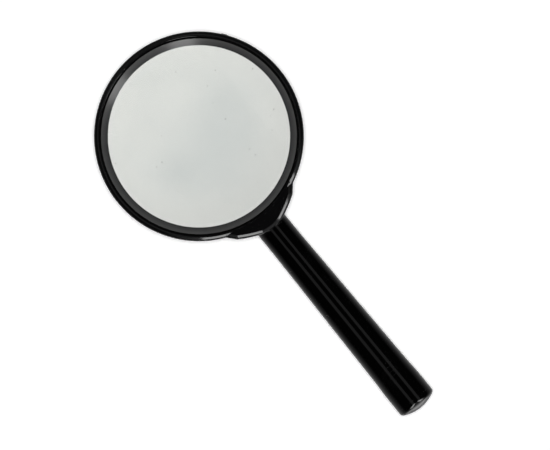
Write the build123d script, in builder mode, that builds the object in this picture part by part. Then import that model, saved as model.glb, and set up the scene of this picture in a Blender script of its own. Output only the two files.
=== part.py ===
from build123d import *
import math
import os

# A hand magnifying glass: a clear biconvex lens in a round frame, on a tapered tube handle.
# All sizes are in millimetres. The lens lies flat, its axis along +Z, and the handle points along -Y.
# "reach" is a distance from the lens axis towards the handle's end, and "radius" and "height" are
# measured from the lens's centre, which is on the handle's own centre line.

# Driving dimensions
lens_radius = 37.5
rim_radius = 42.0
frame_thickness = 15.6
handle_end_reach = 140.4
handle_end_radius = 8.2
handle_neck_radius = 6.8

# Lens: two equal spherical faces and a straight ground edge
lens_face_radius = 208.0
lens_edge_thickness = 2.2
lens_edge_chamfer = 0.25

# Opening of the frame: a clear aperture with a bevel on each side of the lens
aperture_radius = 36.5
bevel_mouth_radius = 39.1
bevel_depth = 1.85
lens_side_clearance = 0.1
lens_seat_clearance = 0.04
seat_thickness = lens_edge_thickness + 2 * lens_seat_clearance + (
    lens_radius**2 - aperture_radius**2
) / lens_face_radius

# Retaining ring, a sliding fit in the front of the frame, a little below its face. Its upper part is
# narrower, and the frame's bore opens out there, which leaves a narrow groove between the two.
ring_bore_radius = 39.6
ring_fit_clearance = 0.05
ring_recess = 0.5
ring_edge_chamfer = 0.15
ring_upper_radius = 39.2
ring_shoulder_drop = 1.6
bore_mouth_radius = 39.95
bore_mouth_depth = 1.5
bore_edge_radius = 0.15

# Rounded outer edges of the rim, front and back
rim_edge_fillet = 1.8

# Shoulder between the rim and the handle. Its outline is a blunt nose, and on each side a round cheek and
# a flank that meets the rim. Each point is a distance from the handle's centre line, and a reach.
nose_tip = (0, 47.3)
cheek_start = (4.6, 46.7)
cheek_middle = (10.2, 44.1)
cheek_end = (14.3, 41.7)
flank_end = (17.5, 38.1)
shoulder_corner_fillet = 3.0
shoulder_edge_fillet = 2.0

# Neck collar, as wide as the handle, whose front face it meets, and the threaded stud inside it
collar_reach = 47.4
collar_start_reach = 44.0
stud_radius = 3.0
stud_start_reach = 41.4
stud_end_reach = 60.6
stud_chamfer = 0.5
stud_seat_clearance = 0.02
stud_fit_clearance = 0.05

# Handle: a moulded tube, solid at the front, with a cylindrical neck, a long taper and a wider end
handle_start_reach = collar_reach
handle_taper_start_reach = 56.0
handle_flare_start_reach = 121.5
handle_flare_start_radius = 7.9
handle_flare_end_reach = 129.0
handle_tube_end_reach = 136.0
handle_front_chamfer = 0.08
handle_wall = 1.6
handle_core_start_reach = 62.5
stud_hole_end_reach = 61.2
plug_bore_radius = 6.5
plug_bore_start_reach = 126.5

# End plug: a domed head of the handle's own diameter, against the tube's end, on a hollow spigot
plug_spigot_clearance = 0.05
plug_spigot_length = 8.5
plug_spigot_wall = 1.6
plug_spigot_chamfer = 0.4
plug_head_thickness = 2.0
plug_corner_radius = 2.2
plug_crown_height = 1.2

# Places worked out from the sizes above: the origin is under the middle of the whole object, on the
# plane that the lowest point of the handle's end stands on.
lens_y = (handle_end_reach - rim_radius) / 2
axis_height = handle_end_radius
lens_centre = (0, lens_y, axis_height)
lens_axis = Axis(lens_centre, (0, 0, 1))
handle_axis = Axis(lens_centre, (0, -1, 0))
lens_section = Plane(origin=lens_centre, x_dir=(1, 0, 0), z_dir=(0, -1, 0))
handle_section = Plane(origin=lens_centre, x_dir=(0, -1, 0), z_dir=(-1, 0, 0))
frame_half = frame_thickness / 2
seat_half = seat_thickness / 2


def across_handle(reach):
    """The plane square to the handle at this reach, facing the handle's end."""
    return Plane(origin=(0, lens_y - reach, axis_height), x_dir=(1, 0, 0), z_dir=(0, -1, 0))


# Lens
lens_edge_half = lens_edge_thickness / 2
lens_face_rise = lens_face_radius - math.sqrt(lens_face_radius**2 - lens_radius**2)
lens_half = lens_edge_half + lens_face_rise

with BuildPart() as lens:
    with BuildSketch(lens_section):
        with BuildLine():
            front_face = RadiusArc((0, lens_half), (lens_radius, lens_edge_half), lens_face_radius)
            edge_face = Line(front_face @ 1, (lens_radius, -lens_edge_half))
            back_face = RadiusArc(edge_face @ 1, (0, -lens_half), lens_face_radius)
            Line(back_face @ 1, front_face @ 0)
        make_face()
    revolve(axis=lens_axis)
    chamfer(lens.edges().filter_by(GeomType.CIRCLE), lens_edge_chamfer)

# Shoulder, a thick plate whose inner end lies inside the rim. It is drawn on the frame's front face,
# seen from behind, so that its sketch measures across the handle and along the reach.
front_height = axis_height + frame_half
shoulder_face = Plane(origin=(0, lens_y, front_height), x_dir=(1, 0, 0), z_dir=(0, 0, -1))

with BuildPart() as shoulder:
    with BuildSketch(shoulder_face) as outline:
        with BuildLine():
            nose_start = (-cheek_start[0], cheek_start[1])
            ThreePointArc(nose_start, nose_tip, cheek_start)
            cheek = ThreePointArc(cheek_start, cheek_middle, cheek_end)
            flank = Line(cheek_end, flank_end)
            mirror([cheek, flank], about=Plane.YZ)
            Line(flank_end, (-flank_end[0], flank_end[1]))
        make_face()
        cheek_corners = outline.vertices().group_by(Axis.Y)[1:]
        fillet([corner for pair in cheek_corners for corner in pair], shoulder_corner_fillet)
    extrude(amount=frame_thickness)
    root_y = lens_y - flank_end[1]
    flat_faces = shoulder.faces().filter_by(Axis.Z)
    outer_edges = [edge for edge in flat_faces.edges() if edge.center().Y < root_y - 0.5]
    fillet(outer_edges, shoulder_edge_fillet)

# Frame: the rim with its rounded edges, the shoulder, the collar, and then the opening
with BuildPart() as frame:
    with BuildSketch(Plane(lens_centre).offset(-frame_half)):
        Circle(rim_radius)
    extrude(amount=frame_thickness)
    fillet(frame.edges().filter_by(GeomType.CIRCLE), rim_edge_fillet)
    add(shoulder.part)

    with BuildSketch(across_handle(collar_start_reach)):
        Circle(handle_neck_radius)
    extrude(amount=collar_reach - collar_start_reach)
    with BuildSketch(across_handle(collar_reach)):
        Circle(stud_radius + stud_seat_clearance)
    extrude(amount=stud_start_reach - collar_reach, mode=Mode.SUBTRACT)

    with BuildSketch(lens_section):
        with BuildLine():
            opening = Polyline(
                (0, -frame_half),
                (bevel_mouth_radius, -frame_half),
                (aperture_radius, bevel_depth - frame_half),
                (aperture_radius, -seat_half),
                (lens_radius + lens_side_clearance, -seat_half),
                (lens_radius + lens_side_clearance, seat_half),
                (ring_bore_radius, seat_half),
                (ring_bore_radius, frame_half - bore_mouth_depth),
                (bore_mouth_radius, frame_half - bore_edge_radius),
            )
            mouth = RadiusArc(
                opening @ 1, (bore_mouth_radius + bore_edge_radius, frame_half), bore_edge_radius
            )
            Polyline(mouth @ 1, (0, frame_half), opening @ 0)
        make_face()
    revolve(axis=lens_axis, mode=Mode.SUBTRACT)

# Retaining ring, which holds the lens down on the frame's seat
ring_outer_radius = ring_bore_radius - ring_fit_clearance
ring_top = frame_half - ring_recess

with BuildPart() as retaining_ring:
    with BuildSketch(lens_section):
        with BuildLine():
            Polyline(
                (aperture_radius, seat_half),
                (ring_outer_radius - ring_edge_chamfer, seat_half),
                (ring_outer_radius, seat_half + ring_edge_chamfer),
                (ring_outer_radius, ring_top - ring_shoulder_drop),
                (ring_upper_radius, ring_top - ring_shoulder_drop + ring_edge_chamfer),
                (ring_upper_radius, ring_top - ring_edge_chamfer),
                (bevel_mouth_radius, ring_top),
                (aperture_radius, ring_top - bevel_depth),
                close=True,
            )
        make_face()
    revolve(axis=lens_axis)

# Threaded stud: a steel rod, its front end fixed in the shoulder
with BuildPart() as handle_stud:
    with BuildSketch(across_handle(stud_start_reach)):
        Circle(stud_radius)
    extrude(amount=stud_end_reach - stud_start_reach)
    chamfer(handle_stud.edges().filter_by(GeomType.CIRCLE), stud_chamfer)

# Handle: the outer shape is revolved, and the core, the stud's hole and the plug's bore are cut out
plug_bore_floor = handle_flare_start_radius - handle_wall

with BuildPart() as handle:
    with BuildSketch(handle_section):
        with BuildLine():
            front = Polyline(
                (handle_start_reach, 0),
                (handle_start_reach, handle_neck_radius - handle_front_chamfer),
                (handle_start_reach + handle_front_chamfer, handle_neck_radius),
                (handle_taper_start_reach, handle_neck_radius),
            )
            taper = Line(front @ 1, (handle_flare_start_reach, handle_flare_start_radius))
            flare = Spline(
                taper @ 1,
                (handle_flare_end_reach, handle_end_radius),
                tangents=(taper % 1, (1, 0)),
            )
            Polyline(
                flare @ 1,
                (handle_tube_end_reach, handle_end_radius),
                (handle_tube_end_reach, plug_bore_radius),
                (plug_bore_start_reach, plug_bore_radius),
                (plug_bore_start_reach, plug_bore_floor),
                (handle_core_start_reach, handle_neck_radius - handle_wall),
                (handle_core_start_reach, 0),
                front @ 0,
            )
        make_face()
    revolve(axis=handle_axis)
    with BuildSketch(across_handle(handle_start_reach)):
        Circle(stud_radius + stud_fit_clearance)
    extrude(amount=stud_hole_end_reach - handle_start_reach, mode=Mode.SUBTRACT)

# End plug
plug_start_reach = handle_tube_end_reach
plug_corner_reach = handle_end_reach - plug_crown_height
plug_crown_radius = handle_end_radius - plug_corner_radius
plug_spigot_radius = plug_bore_radius - plug_spigot_clearance
plug_spigot_end = plug_start_reach - plug_spigot_length

with BuildPart() as end_plug:
    with BuildSketch(handle_section):
        with BuildLine():
            crown = ThreePointArc(
                (handle_end_reach, 0),
                (handle_end_reach - plug_crown_height / 4, plug_crown_radius / 2),
                (plug_corner_reach, plug_crown_radius),
            )
            corner = Spline(
                crown @ 1,
                (plug_corner_reach - plug_corner_radius, handle_end_radius),
                tangents=(crown % 1, (-1, 0)),
            )
            Polyline(
                corner @ 1,
                (plug_start_reach, handle_end_radius),
                (plug_start_reach, plug_spigot_radius),
                (plug_spigot_end + plug_spigot_chamfer, plug_spigot_radius),
                (plug_spigot_end, plug_spigot_radius - plug_spigot_chamfer),
                (plug_spigot_end, plug_spigot_radius - plug_spigot_wall),
                (plug_start_reach + plug_head_thickness, plug_spigot_radius - plug_spigot_wall),
                (plug_start_reach + plug_head_thickness, 0),
                crown @ 0,
            )
        make_face()
    revolve(axis=handle_axis)

pieces = {
    "frame": frame,
    "lens": lens,
    "retaining_ring": retaining_ring,
    "handle_stud": handle_stud,
    "handle": handle,
    "end_plug": end_plug,
}
os.makedirs("parts", exist_ok=True)
for name, piece in pieces.items():
    piece.part.label = name
    export_step(piece.part, f"parts/{name}.step")
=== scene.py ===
import bmesh
import bpy
import math
from mathutils import Matrix, Vector


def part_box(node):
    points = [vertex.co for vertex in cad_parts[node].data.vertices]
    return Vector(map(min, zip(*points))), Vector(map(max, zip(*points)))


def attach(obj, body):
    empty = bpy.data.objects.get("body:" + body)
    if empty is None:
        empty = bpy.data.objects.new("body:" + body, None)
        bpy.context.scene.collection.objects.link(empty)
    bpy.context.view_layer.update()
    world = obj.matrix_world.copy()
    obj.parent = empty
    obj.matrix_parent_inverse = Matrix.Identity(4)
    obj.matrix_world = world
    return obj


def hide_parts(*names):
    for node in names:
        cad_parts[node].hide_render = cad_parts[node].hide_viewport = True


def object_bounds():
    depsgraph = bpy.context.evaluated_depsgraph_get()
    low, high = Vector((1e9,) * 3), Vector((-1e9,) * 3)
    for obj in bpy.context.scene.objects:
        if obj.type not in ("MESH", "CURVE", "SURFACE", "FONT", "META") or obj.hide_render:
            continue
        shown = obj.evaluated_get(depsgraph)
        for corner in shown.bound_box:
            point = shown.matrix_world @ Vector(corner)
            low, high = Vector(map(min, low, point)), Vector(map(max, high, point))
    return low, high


# A magnifying glass laid on white paper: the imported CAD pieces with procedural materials, a threaded
# stud in place of the plain one, and the gate mark that moulding leaves. Everything is in metres.
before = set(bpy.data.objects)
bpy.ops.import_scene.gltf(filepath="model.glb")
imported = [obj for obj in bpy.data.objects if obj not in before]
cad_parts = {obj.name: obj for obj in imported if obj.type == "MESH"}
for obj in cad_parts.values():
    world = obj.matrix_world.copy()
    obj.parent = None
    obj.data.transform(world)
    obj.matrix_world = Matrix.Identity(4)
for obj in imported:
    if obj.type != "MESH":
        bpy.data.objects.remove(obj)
cad_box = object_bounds()

MM = 0.001

# Places read from the frame. The lens axis is vertical, and the handle points along -Y.
rim_low, rim_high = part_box("frame")
lens_low, lens_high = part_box("lens")
handle_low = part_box("handle")[0]
LENS_CENTRE = (lens_low + lens_high) / 2
RIM_RADIUS = (rim_high.x - rim_low.x) / 2

# Radii of the frame's clear opening and of the retaining ring's top, which the boxes don't show
APERTURE_RADIUS = 36.5 * MM
RING_TOP_RADIUS = 39.2 * MM


# ---------------------------------------------------------------- camera
VIEW_WIDTH = 0.2204
CAMERA_DISTANCE = 4.0
SENSOR_WIDTH = 36.0
ROLL = math.radians(-39.3)
LENS_TO_VIEW_CENTRE = (0.03043, -0.03549)


def add_camera():
    """Straight above the object, with the handle pointing down to the right of the picture."""
    right = Vector((math.cos(ROLL), math.sin(ROLL), 0))
    up = Vector((-math.sin(ROLL), math.cos(ROLL), 0))
    aim = LENS_CENTRE + right * LENS_TO_VIEW_CENTRE[0] + up * LENS_TO_VIEW_CENTRE[1]
    data = bpy.data.cameras.new("camera")
    data.type = "PERSP"
    data.sensor_width = SENSOR_WIDTH
    data.lens = SENSOR_WIDTH * CAMERA_DISTANCE / VIEW_WIDTH
    data.clip_end = 2.5 * CAMERA_DISTANCE
    camera = bpy.data.objects.new("camera", data)
    camera.location = aim + Vector((0, 0, CAMERA_DISTANCE))
    camera.rotation_euler = (0, 0, ROLL)
    bpy.context.scene.collection.objects.link(camera)
    bpy.context.scene.camera = camera


# ---------------------------------------------------------------- light
def add_panel(name, azimuth, zenith, distance, size, radiance):
    """A soft box that only gloss shows, facing the lens.

    Azimuth is from the handle's side (-Y) towards +X, and zenith is from straight up, in degrees.
    """
    azimuth, zenith = math.radians(azimuth), math.radians(zenith)
    away = Vector((math.sin(azimuth), -math.cos(azimuth), 0))
    across = Vector((math.cos(azimuth), math.sin(azimuth), 0))
    direction = away * math.sin(zenith) + Vector((0, 0, math.cos(zenith)))
    data = bpy.data.lights.new(name, "AREA")
    data.shape = "RECTANGLE"
    data.size, data.size_y = size
    data.energy = radiance * math.pi * size[0] * size[1]
    panel = bpy.data.objects.new(name, data)
    upright = direction.cross(across)
    turn = Matrix((across, upright, direction)).transposed()
    panel.matrix_world = Matrix.Translation(LENS_CENTRE + direction * distance) @ turn.to_4x4()
    panel.visible_camera = False
    panel.visible_diffuse = False
    panel.visible_transmission = False
    bpy.context.scene.collection.objects.link(panel)


OVERHEAD_ENERGY = 2.65
OVERHEAD_SPREAD = math.radians(16)


def add_overhead():
    """Soft light from straight above, the same all over the floor. Gloss doesn't show it."""
    data = bpy.data.lights.new("overhead", "SUN")
    data.energy = OVERHEAD_ENERGY
    data.angle = OVERHEAD_SPREAD
    overhead = bpy.data.objects.new("overhead", data)
    overhead.visible_glossy = False
    overhead.visible_transmission = False
    overhead.visible_camera = False
    bpy.context.scene.collection.objects.link(overhead)


# The windows' panels: how far away they are, and the zenith angles where one ends and the next starts
WINDOW_DISTANCE = 1.5
WINDOW_BANDS = (27, 44, 61, 78)


def add_window(name, azimuth, half_width, radiance):
    """A bright upright window as stacked panels, each as wide as keeps its angle across the same."""
    for low, high in zip(WINDOW_BANDS, WINDOW_BANDS[1:]):
        zenith = (low + high) / 2
        out = WINDOW_DISTANCE * math.sin(math.radians(zenith))
        width = 2 * out * math.tan(math.radians(half_width))
        height = 2 * WINDOW_DISTANCE * math.tan(math.radians((high - low) / 2))
        add_panel(f"{name}_{low}", azimuth, zenith, WINDOW_DISTANCE, (width, height), radiance)


def add_lights():
    """Two bright windows, a wall and a floor beyond the handle's end, and fainter light elsewhere."""
    add_overhead()
    add_window("window_left", -29.8, 8.0, 6.2)
    add_window("window_right", 20.8, 8.2, 5.9)
    add_panel("wall_front", -4, 62, 1.7, (3.0, 2.0), 0.4)
    add_panel("floor_front", -4, 117, 1.5, (1.0, 1.25), 0.95)
    add_panel("wall_back", 171, 40, 1.5, (1.1, 1.1), 0.14)
    add_panel("strip_left", -90, 20.5, 1.2, (1.6, 0.31), 0.25)
    add_panel("strip_right", 90, 22, 1.2, (1.6, 0.31), 0.27)


# Brightness of the surroundings against the height of the direction, from straight down (0) to up (1),
# and of the white that the camera sees in their place
SURROUNDINGS = ((0.0, 0.5), (0.15, 0.42), (0.34, 0.2), (0.5, 0.05), (0.56, 0.004), (1.0, 0.003))
BACKDROP = 1.15


def make_world():
    """White to the camera. To all else it is dark above and brighter below, in place of a lit floor."""
    world = bpy.data.worlds.new("world")
    bpy.context.scene.world = world
    world.use_nodes = True
    nodes, links = world.node_tree.nodes, world.node_tree.links
    nodes.clear()
    direction = nodes.new("ShaderNodeTexCoord")
    split = nodes.new("ShaderNodeSeparateXYZ")
    height = nodes.new("ShaderNodeMapRange")
    ramp = nodes.new("ShaderNodeValToRGB")
    reflected = nodes.new("ShaderNodeBackground")
    white = nodes.new("ShaderNodeBackground")
    path = nodes.new("ShaderNodeLightPath")
    choose = nodes.new("ShaderNodeMixShader")
    out = nodes.new("ShaderNodeOutputWorld")
    links.new(direction.outputs["Generated"], split.inputs[0])
    height.inputs["From Min"].default_value = -1
    height.inputs["From Max"].default_value = 1
    links.new(split.outputs["Z"], height.inputs["Value"])
    links.new(height.outputs[0], ramp.inputs[0])
    set_ramp(ramp, [(place, (value, value, value)) for place, value in SURROUNDINGS])
    links.new(ramp.outputs[0], reflected.inputs[0])
    white.inputs[0].default_value = (1, 1, 1, 1)
    white.inputs[1].default_value = BACKDROP
    links.new(path.outputs["Is Camera Ray"], choose.inputs[0])
    links.new(reflected.outputs[0], choose.inputs[1])
    links.new(white.outputs[0], choose.inputs[2])
    links.new(choose.outputs[0], out.inputs[0])


# ---------------------------------------------------------------- shader helpers
def set_ramp(ramp, stops):
    """Sets a colour ramp's stops, each a place from 0 to 1 and a colour."""
    elements = ramp.color_ramp.elements
    while len(elements) < len(stops):
        elements.new(0.5)
    for element, (place, colour) in zip(elements, stops):
        element.position = place
        element.color = (*colour, 1)


class Shader:
    """A new material with one Principled shader, and short ways to add nodes to it."""

    def __init__(self, name, roughness, specular=0.5, ior=1.5, metallic=0.0):
        self.material = bpy.data.materials.new(name)
        self.material.use_nodes = True
        self.nodes = self.material.node_tree.nodes
        self.links = self.material.node_tree.links
        self.surface = self.nodes["Principled BSDF"]
        self.place = self.nodes.new("ShaderNodeTexCoord").outputs["Object"]
        self.set("Roughness", roughness)
        self.set("Specular IOR Level", specular)
        self.set("IOR", ior)
        self.set("Metallic", metallic)

    def set(self, socket, value):
        """Sets one input of the Principled shader, to a value or to another node's output."""
        if isinstance(value, bpy.types.NodeSocket):
            self.links.new(value, self.surface.inputs[socket])
        else:
            self.surface.inputs[socket].default_value = value

    def math(self, operation, first, second=0.0, clamp=False):
        """One sum. Either value may be a socket."""
        node = self.nodes.new("ShaderNodeMath")
        node.operation = operation
        node.use_clamp = clamp
        for socket, value in zip(node.inputs, (first, second)):
            if isinstance(value, bpy.types.NodeSocket):
                self.links.new(value, socket)
            else:
                socket.default_value = value
        return node.outputs[0]

    def add(self, *values):
        """The sum of two or more values, the first of them a socket."""
        total = values[0]
        for value in values[1:]:
            total = self.math("ADD", total, value)
        return total

    def scaled(self, value, low, high):
        """A value from 0 to 1, moved to between low and high."""
        return self.math("ADD", self.math("MULTIPLY", value, high - low), low)

    def step(self, value, start, end):
        """0 below start and 1 above end, smooth between them. It falls where end is below start."""
        node = self.nodes.new("ShaderNodeMapRange")
        node.interpolation_type = "SMOOTHSTEP"
        node.inputs["From Min"].default_value = start
        node.inputs["From Max"].default_value = end
        self.links.new(value, node.inputs["Value"])
        return node.outputs[0]

    def mapped(self, stretch=(1, 1, 1), turn=(0, 0, 0)):
        """The place on the piece, turned by angles in degrees and stretched."""
        node = self.nodes.new("ShaderNodeMapping")
        self.links.new(self.place, node.inputs["Vector"])
        node.inputs["Rotation"].default_value = [math.radians(angle) for angle in turn]
        node.inputs["Scale"].default_value = stretch
        return node.outputs[0]

    def noise(self, scale, detail=2.0, rough=0.5, where=None):
        """A soft noise from 0 to 1, over the place on the piece unless another place is given."""
        node = self.nodes.new("ShaderNodeTexNoise")
        self.links.new(where or self.place, node.inputs["Vector"])
        node.inputs["Scale"].default_value = scale
        node.inputs["Detail"].default_value = detail
        node.inputs["Roughness"].default_value = rough
        return node.outputs["Fac"]

    def scratches(self, turn, length, width, cover):
        """Fine streaks along one direction, broken up by a broad noise. cover is how much they fill."""
        where = self.mapped((1 / length, 1 / width, 1 / width), turn)
        streaks = self.step(self.noise(1.0, 1.0, 0.5, where), 0.66, 0.72)
        patches = self.step(self.noise(90), 0.62 - cover / 2, 0.70 - cover / 2)
        return self.math("MULTIPLY", streaks, patches)

    def specks(self, cell, size, keep):
        """Small round spots, one in some of the cells. keep is the share of the cells that have one."""
        node = self.nodes.new("ShaderNodeTexVoronoi")
        self.links.new(self.place, node.inputs["Vector"])
        node.inputs["Scale"].default_value = 1 / cell
        split = self.nodes.new("ShaderNodeSeparateColor")
        self.links.new(node.outputs["Color"], split.inputs[0])
        reach = self.scaled(split.outputs[1], 0.3 * size / cell, size / cell)
        inside = self.math("LESS_THAN", node.outputs["Distance"], reach)
        kept = self.math("LESS_THAN", split.outputs[0], keep)
        return self.math("MULTIPLY", inside, kept)

    def edges(self, radius):
        """1 on a sharp edge and 0 away from it, with a broken outline."""
        bevel = self.nodes.new("ShaderNodeBevel")
        bevel.inputs["Radius"].default_value = radius
        geometry = self.nodes.new("ShaderNodeNewGeometry")
        dot = self.nodes.new("ShaderNodeVectorMath")
        dot.operation = "DOT_PRODUCT"
        self.links.new(bevel.outputs[0], dot.inputs[0])
        self.links.new(geometry.outputs["Normal"], dot.inputs[1])
        sharp = self.step(dot.outputs["Value"], 0.995, 0.9)
        return self.math("MULTIPLY", sharp, self.step(self.noise(700, 3), 0.4, 0.62))

    def mix(self, factor, first, second):
        """Two colours mixed. Either may be a socket."""
        node = self.nodes.new("ShaderNodeMix")
        node.data_type = "RGBA"
        self.links.new(factor, node.inputs["Factor"])
        for socket, value in zip((node.inputs[6], node.inputs[7]), (first, second)):
            if isinstance(value, bpy.types.NodeSocket):
                self.links.new(value, socket)
            else:
                socket.default_value = (*value, 1)
        return node.outputs[2]

    def bump(self, height, distance, below=None):
        """A surface normal for this height, on top of the bump below if there is one."""
        node = self.nodes.new("ShaderNodeBump")
        node.inputs["Distance"].default_value = distance
        self.links.new(height, node.inputs["Height"])
        if below:
            self.links.new(below, node.inputs["Normal"])
        return node.outputs[0]

    def radius_from_lens_axis(self):
        """How far the place on the piece is from the lens axis, in metres."""
        split = self.nodes.new("ShaderNodeSeparateXYZ")
        self.links.new(self.place, split.inputs[0])
        across = self.math("POWER", self.math("SUBTRACT", split.outputs[0], LENS_CENTRE.x), 2)
        along = self.math("POWER", self.math("SUBTRACT", split.outputs[1], LENS_CENTRE.y), 2)
        return self.math("SQRT", self.math("ADD", across, along))


# ---------------------------------------------------------------- materials
DUST = (0.30, 0.29, 0.27)
SCRATCHED_BLACK = (0.02, 0.02, 0.021)
WORN_BLACK = (0.018, 0.0175, 0.017)

# Sizes of the marks on black plastic
LONG_SCRATCH = 22 * MM
LONG_SCRATCH_WIDTH = 0.14 * MM
CROSS_SCRATCH = 12 * MM
CROSS_SCRATCH_WIDTH = 0.11 * MM
SCRATCH_HEIGHT = 0.003 * MM
RIPPLE_HEIGHT = 0.004 * MM
WORN_EDGE = 0.35 * MM
DUST_CELL = 3.2 * MM
DUST_SIZE = 0.11 * MM
DUST_HEIGHT = 0.02 * MM


def black_plastic(name, tone, roughness=0.07):
    """Glossy black plastic: a faint ripple, hairline scratches, worn edges and a little dust."""
    shader = Shader(name, roughness)
    smears = shader.step(shader.noise(55, 3), 0.35, 0.75)
    long_scratches = shader.scratches((0, 0, 97), LONG_SCRATCH, LONG_SCRATCH_WIDTH, 0.10)
    cross_scratches = shader.scratches((8, 0, 28), CROSS_SCRATCH, CROSS_SCRATCH_WIDTH, 0.04)
    scratches = shader.math("MAXIMUM", long_scratches, cross_scratches)
    worn = shader.edges(WORN_EDGE)
    dust = shader.specks(DUST_CELL, DUST_SIZE, 0.4)
    low = tuple(0.8 * part for part in tone)
    high = tuple(1.3 * part for part in tone)
    body = shader.mix(shader.noise(240, 4), low, high)
    body = shader.mix(shader.math("MULTIPLY", scratches, 0.5), body, SCRATCHED_BLACK)
    body = shader.mix(shader.math("MULTIPLY", worn, 0.6), body, WORN_BLACK)
    shader.set("Base Color", shader.mix(dust, body, DUST))
    rough = shader.scaled(smears, roughness * 0.85, roughness * 1.35)
    scratched_rough = shader.math("MULTIPLY", scratches, 0.22)
    worn_rough = shader.math("MULTIPLY", worn, 0.25)
    rough = shader.add(rough, scratched_rough, worn_rough)
    shader.set("Roughness", shader.math("ADD", rough, shader.math("MULTIPLY", dust, 0.5), clamp=True))
    ripple = shader.bump(shader.noise(420, 2), RIPPLE_HEIGHT)
    grooves = shader.bump(shader.math("SUBTRACT", 1.0, scratches), SCRATCH_HEIGHT, ripple)
    shader.set("Normal", shader.bump(dust, DUST_HEIGHT, grooves))
    return shader.material


# Painted shade: the ring's colour is darker towards the lens, where its bevel lies deeper, and paler
# outwards.
RING_INNER_SHADED = (0.042, 0.043, 0.044)
RING_OUTER = (0.09, 0.09, 0.089)
RING_MOTTLE = (0.03, 0.03, 0.031)
RING_WORN = (0.12, 0.12, 0.118)
# Painted shade: the groove beyond the ring's top is coloured near-black, because the light doesn't reach
# it.
RING_GROOVE_SHADE = (0.003, 0.003, 0.003)
RING_SHADE_START = APERTURE_RADIUS - 0.4 * MM
RING_SHADE_END = APERTURE_RADIUS + 2.9 * MM
RING_EDGE_BLUR = 0.02 * MM
TURNED_LINE_SPACING = 0.16 * MM


def ring_plastic():
    """The retaining ring's satin black: fine turned lines, paler outwards because painted shade darkens
    it towards the lens, and a groove painted dark as shade.
    """
    shader = Shader("ring_plastic", 0.2, specular=0.3)
    radius = shader.radius_from_lens_axis()
    # Painted shade, darker towards the lens
    outward = shader.step(radius, RING_SHADE_START, RING_SHADE_END)
    # Painted shade: near-black beyond the ring's top, in the groove
    groove = shader.step(radius, RING_TOP_RADIUS - RING_EDGE_BLUR, RING_TOP_RADIUS + RING_EDGE_BLUR)
    turned = shader.noise(1.0, 2, 0.6, shader.math("MULTIPLY", radius, 1 / TURNED_LINE_SPACING))
    mottle = shader.noise(300, 4)
    dust = shader.specks(2.4 * MM, 0.1 * MM, 0.35)
    worn = shader.edges(0.25 * MM)
    body = shader.mix(outward, RING_INNER_SHADED, RING_OUTER)
    body = shader.mix(shader.math("MULTIPLY", mottle, 0.35), body, RING_MOTTLE)
    body = shader.mix(shader.math("MULTIPLY", worn, 0.5), body, RING_WORN)
    shader.set("Base Color", shader.mix(groove, shader.mix(dust, body, DUST), RING_GROOVE_SHADE))
    turned_rough = shader.scaled(turned, 0.14, 0.28)
    dust_rough = shader.math("MULTIPLY", dust, 0.4)
    shader.set("Roughness", shader.add(turned_rough, dust_rough))
    shader.set("Normal", shader.bump(turned, 0.006 * MM))
    return shader.material


ZINC_DULL = (0.42, 0.44, 0.46)
ZINC_BRIGHT = (0.62, 0.63, 0.62)
ZINC_SCUFF = (0.75, 0.75, 0.74)


def zinc_steel():
    """Zinc-plated steel, bright and slightly blue, with dull patches and scuffs along the thread."""
    shader = Shader("stud_steel", 0.3, metallic=1.0)
    patches = shader.noise(160, 4, 0.6)
    scuffs = shader.scratches((0, 0, 0), 2.5 * MM, 0.09 * MM, 0.4)
    body = shader.mix(patches, ZINC_DULL, ZINC_BRIGHT)
    shader.set("Base Color", shader.mix(scuffs, body, ZINC_SCUFF))
    patch_rough = shader.scaled(patches, 0.2, 0.45)
    scuff_rough = shader.math("MULTIPLY", scuffs, 0.1)
    shader.set("Roughness", shader.add(patch_rough, scuff_rough))
    shader.set("Normal", shader.bump(shader.noise(900, 3), 0.006 * MM))
    return shader.material


# Lens tints, and the share of the overhead light that the lens lets through to the floor
# The paler tint stands for clear glass, and also for painted light on the lens's paler side.
LENS_CLEAR_AND_LIT = (0.672, 0.684, 0.656)
LENS_HAZY = (0.568, 0.594, 0.580)
LENS_EDGE_HIGHLIGHT = (0.70, 0.71, 0.69)
LENS_SPECK = (0.25, 0.25, 0.24)
LENS_SHADOW = 0.93

# The haze is less on one side, which lies in this direction (X, Y) from the axis: painted light, paler
# on that side.
# It changes between two places across the lens, in aperture radii. It is also less outwards, and the
# lens's edge is paler, a painted highlight.
LIT_SIDE_DIRECTION = (-0.35, 0.94)
LIT_SIDE_START = -0.25
LIT_SIDE_END = 0.5
LIT_SIDE_STRENGTH = 0.6
OUTWARD_FADE_START = 9 * MM
OUTWARD_FADE_END = 37 * MM
OUTWARD_FADE_STRENGTH = 0.8
# Where the painted highlight near the lens's edge lies
EDGE_HIGHLIGHT_START = 34.6 * MM
EDGE_HIGHLIGHT_END = 35.6 * MM
EDGE_HIGHLIGHT_STRENGTH = 0.6
SPECK_CELL = 3.0 * MM
SPECK_SIZE = 0.3 * MM
SPECK_SHARE = 0.25


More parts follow.
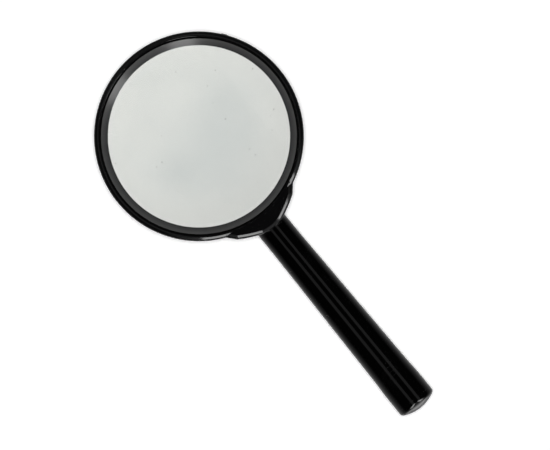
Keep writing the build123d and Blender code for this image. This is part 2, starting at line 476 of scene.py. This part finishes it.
def lens_glass():
    """Clear lens with a thin cloudy haze, less towards its edge, painted light paling one side, a
    painted highlight at its edge, and specks of dirt.
    """
    shader = Shader("lens_glass", 0.0, ior=1.52)
    shader.set("Transmission Weight", 1.0)
    split = shader.nodes.new("ShaderNodeSeparateXYZ")
    shader.links.new(shader.place, split.inputs[0])
    across = shader.math("MULTIPLY", split.outputs[0], LIT_SIDE_DIRECTION[0] / APERTURE_RADIUS)
    along = shader.math("SUBTRACT", split.outputs[1], LENS_CENTRE.y)
    along = shader.math("MULTIPLY", along, LIT_SIDE_DIRECTION[1] / APERTURE_RADIUS)
    # Painted light: the lens is tinted paler on one side.
    lit_side = shader.step(shader.math("ADD", across, along), LIT_SIDE_START, LIT_SIDE_END)
    lit_side = shader.math("MULTIPLY", lit_side, LIT_SIDE_STRENGTH)
    radius = shader.radius_from_lens_axis()
    # The haze thins outwards from the middle.
    outward_fade = shader.step(radius, OUTWARD_FADE_START, OUTWARD_FADE_END)
    outward_fade = shader.math("MULTIPLY", outward_fade, OUTWARD_FADE_STRENGTH)
    cloud = shader.scaled(shader.noise(60, 6, 0.6), 0.4, 1.35)
    haze = shader.math("SUBTRACT", cloud, shader.math("MAXIMUM", lit_side, outward_fade))
    tint = shader.mix(shader.step(haze, -0.1, 1.1), LENS_CLEAR_AND_LIT, LENS_HAZY)
    # Painted highlight: a paler band just inside the lens's edge, for the light that its edge refracts.
    edge = shader.step(radius, EDGE_HIGHLIGHT_START, EDGE_HIGHLIGHT_END)
    edge = shader.math("MULTIPLY", edge, EDGE_HIGHLIGHT_STRENGTH)
    tint = shader.mix(edge, tint, LENS_EDGE_HIGHLIGHT)
    specks = shader.specks(SPECK_CELL, SPECK_SIZE, SPECK_SHARE)
    shader.set("Base Color", shader.mix(specks, tint, LENS_SPECK))
    clear = shader.nodes.new("ShaderNodeBsdfTransparent")
    clear.inputs[0].default_value = (LENS_SHADOW, LENS_SHADOW, LENS_SHADOW, 1)
    path = shader.nodes.new("ShaderNodeLightPath")
    mix = shader.nodes.new("ShaderNodeMixShader")
    shader.links.new(path.outputs["Is Shadow Ray"], mix.inputs[0])
    shader.links.new(shader.surface.outputs[0], mix.inputs[1])
    shader.links.new(clear.outputs[0], mix.inputs[2])
    shader.links.new(mix.outputs[0], shader.nodes["Material Output"].inputs[0])
    return shader.material


def wear(piece, material):
    """Gives a piece this material in place of what it came with."""
    piece.data.materials.clear()
    piece.data.materials.append(material)


# ---------------------------------------------------------------- pieces
# The stud's thread. Its crest's and its flank's widths are shares of half a pitch.
THREAD_PITCH = 1.0 * MM
THREAD_DEPTH = 0.54 * MM
THREAD_CREST = 0.16
THREAD_FLANK = 0.68
STUD_POINT = 0.5 * MM
ROWS_PER_PITCH = 12
TURN_STEPS = 40


def thread_depth(turns):
    """How deep the thread is at a place counted in turns, from 0 on its crest to 1 in its root."""
    phase = abs((turns % 1.0) - 0.5) * 2
    return min(max((phase - THREAD_CREST) / THREAD_FLANK, 0.0), 1.0)


def threaded_stud():
    """The stud with a right-hand thread and a tapered point at each end, in place of the plain rod."""
    low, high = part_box("handle_stud")
    centre = (low + high) / 2
    outer = (high.x - low.x) / 2
    length = high.y - low.y
    rows = int(length / THREAD_PITCH * ROWS_PER_PITCH)
    mesh = bmesh.new()
    rings = []
    for row in range(rows + 1):
        along = length * row / rows
        end_gap = min(along, length - along)
        ring = []
        for step in range(TURN_STEPS):
            angle = math.tau * step / TURN_STEPS
            depth = thread_depth(along / THREAD_PITCH - step / TURN_STEPS) * THREAD_DEPTH
            pointed = outer - STUD_POINT + end_gap if end_gap < STUD_POINT else outer
            radius = min(outer - depth, pointed)
            x = centre.x + radius * math.cos(angle)
            z = centre.z + radius * math.sin(angle)
            ring.append(mesh.verts.new((x, high.y - along, z)))
        rings.append(ring)
    for front, back in zip(rings, rings[1:]):
        for step in range(TURN_STEPS):
            following = (step + 1) % TURN_STEPS
            mesh.faces.new((front[step], front[following], back[following], back[step]))
    mesh.faces.new(reversed(rings[0]))
    mesh.faces.new(rings[-1])
    bmesh.ops.recalc_face_normals(mesh, faces=mesh.faces)
    stud = add_piece("threaded_stud", mesh, zinc_steel())
    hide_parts("handle_stud")
    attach(stud, "frame")


def add_piece(name, mesh, material):
    """A new smooth-shaded object from a bmesh, with one material."""
    data = bpy.data.meshes.new(name)
    mesh.to_mesh(data)
    mesh.free()
    for face in data.polygons:
        face.use_smooth = True
    piece = bpy.data.objects.new(name, data)
    bpy.context.scene.collection.objects.link(piece)
    data.materials.append(material)
    return piece


# The gate mark: what is left of the moulding's feed point, on the rim's edge away from the handle.
# Its edges are sunk a little below the rim's surface.
GATE_AZIMUTH = math.radians(126.7)
GATE_WIDTH = 3.2 * MM
GATE_HEIGHT = 5.0 * MM
GATE_PROUD = 0.4 * MM
GATE_SUNK = 0.03 * MM
GATE_SQUARENESS = 5
GATE_TEAR = 0.12
GATE_COLUMNS = 14
GATE_ROWS = 18


def gate_mark(material):
    """A low rounded tab on the rim's outer edge, a little torn where the feed was broken off."""
    mesh = bmesh.new()
    away = Vector((math.sin(GATE_AZIMUTH), -math.cos(GATE_AZIMUTH), 0))
    across = Vector((math.cos(GATE_AZIMUTH), math.sin(GATE_AZIMUTH), 0))
    grid = []
    for row in range(GATE_ROWS + 1):
        up = 2 * row / GATE_ROWS - 1
        line = []
        for column in range(GATE_COLUMNS + 1):
            side = 2 * column / GATE_COLUMNS - 1
            crown = (1 - abs(side) ** GATE_SQUARENESS) * (1 - abs(up) ** GATE_SQUARENESS)
            torn = GATE_TEAR * math.sin(7 * side + 3 * up) * math.sin(9 * up - 2 * side)
            sideways = side * GATE_WIDTH / 2
            base = math.sqrt(RIM_RADIUS**2 - sideways**2) - GATE_SUNK
            reach = base + GATE_PROUD * crown * (0.85 + torn)
            rise = Vector((0, 0, up * GATE_HEIGHT / 2))
            line.append(mesh.verts.new(LENS_CENTRE + away * reach + across * sideways + rise))
        grid.append(line)
    for lower, upper in zip(grid, grid[1:]):
        for column in range(GATE_COLUMNS):
            mesh.faces.new((lower[column], lower[column + 1], upper[column + 1], upper[column]))
    bmesh.ops.recalc_face_normals(mesh, faces=mesh.faces)
    gate = add_piece("gate_mark", mesh, material)
    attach(gate, "frame")


FLOOR_HALF_WIDTH = 6.0
FLOOR_GLOW = 0.3
FLOOR_GAP = 0.05 * MM
PAPER_DARK = (0.88, 0.88, 0.88)
PAPER_PALE = (0.92, 0.92, 0.92)


def add_floor():
    """White paper, leaning so that it is as close to the rim's far edge as to the handle's end."""
    mesh = bmesh.new()
    bmesh.ops.create_grid(mesh, x_segments=8, y_segments=8, size=FLOOR_HALF_WIDTH)
    shader = Shader("paper", 0.9, specular=0.2)
    fibres = shader.noise(900, 5, 0.6)
    shader.set("Base Color", shader.mix(fibres, PAPER_DARK, PAPER_PALE))
    shader.set("Emission Color", (1, 1, 1, 1))
    shader.set("Emission Strength", FLOOR_GLOW)
    shader.set("Normal", shader.bump(fibres, 0.01 * MM))
    floor = add_piece("floor", mesh, shader.material)
    floor.visible_glossy = False
    rise = rim_low.z - cad_box[0][2]
    run = rim_high.y - handle_low.y
    floor.rotation_euler = (math.atan2(rise, run), 0, 0)
    floor.location = (0, handle_low.y, cad_box[0][2] - FLOOR_GAP)


add_camera()
add_lights()
make_world()
add_floor()
frame_black = black_plastic("frame_plastic", (0.0030, 0.0030, 0.0032))
handle_black = black_plastic("handle_plastic", (0.0006, 0.0006, 0.0006))
plug_black = black_plastic("plug_plastic", (0.0008, 0.0008, 0.0008))
wear(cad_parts["frame"], frame_black)
wear(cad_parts["handle"], handle_black)
wear(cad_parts["end_plug"], plug_black)
wear(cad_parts["retaining_ring"], ring_plastic())
wear(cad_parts["lens"], lens_glass())
threaded_stud()
gate_mark(frame_black)
bpy.context.scene.view_settings.view_transform = "Standard"
